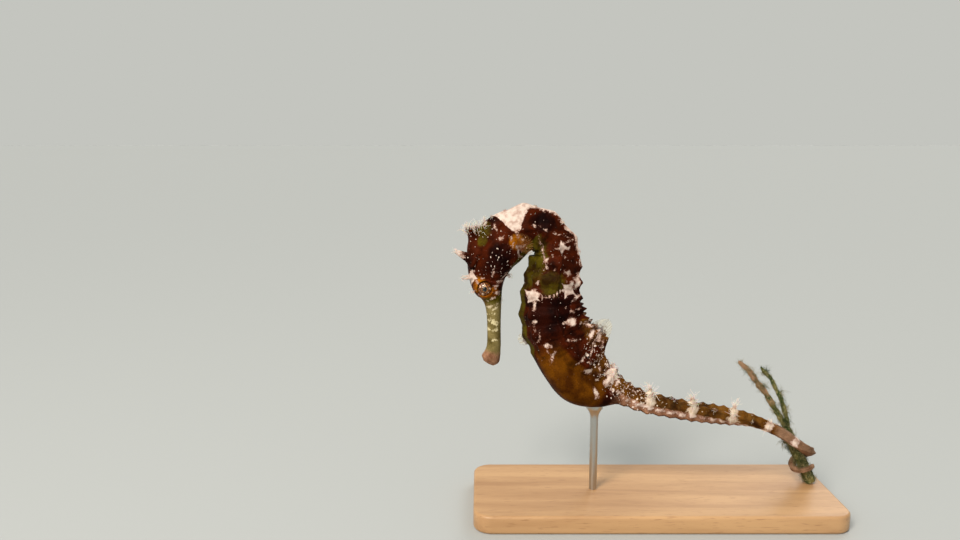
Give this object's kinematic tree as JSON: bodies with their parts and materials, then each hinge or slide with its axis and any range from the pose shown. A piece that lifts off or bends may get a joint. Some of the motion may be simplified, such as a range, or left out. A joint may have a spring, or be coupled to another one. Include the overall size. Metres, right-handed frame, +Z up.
{
  "type": "seahorse model",
  "caption": "Life-size still model of a spiny male seahorse, head tucked down and tail wrapped round a cut plant stem, on a flat base with slim rods",
  "frame": {"origin": "middle of the underside of the base, which stands on Z = 0", "axes": "the animal faces -X with its tail towards +X, its left side faces -Y and its right side +Y, and +Z is up"},
  "size_m": [0.1055, 0.036, 0.0858],
  "materials": {
    "skin": "moist living skin over bony rings, dark maroon brown with cream markings",
    "snout": "moist skin, pale ochre with fine cross bands",
    "tail": "moist skin over bony rings, brown above and pinkish tan below",
    "pouch": "smooth moist skin, amber",
    "eye": "wet gold iris with a dark pupil under a clear cornea",
    "fin": "thin translucent membrane on fine rays",
    "stem": "water plant stem and blades with a fuzz of fine algae",
    "rod": "satin steel rod",
    "base": "plain beech, sanded and sealed to a satin finish"
  },
  "bodies": {
    "root": {"snout": "snout", "head": "skin", "coronet": "skin", "eye_left": "eye", "eye_right": "eye", "neck": "skin", "trunk_upper": "skin", "trunk_lower": "skin", "tail_1": "tail", "tail_2": "tail", "tail_3": "tail", "tail_4": "tail", "tail_5": "tail", "brood_pouch": "pouch", "dorsal_fin": "fin", "anal_fin": "fin", "pectoral_fin_left": "fin", "pectoral_fin_right": "fin", "perch_stem": "stem", "stand_rod_body": "rod", "stand_rod_perch": "rod", "stand_base": "base"}
  },
  "joints": []
}
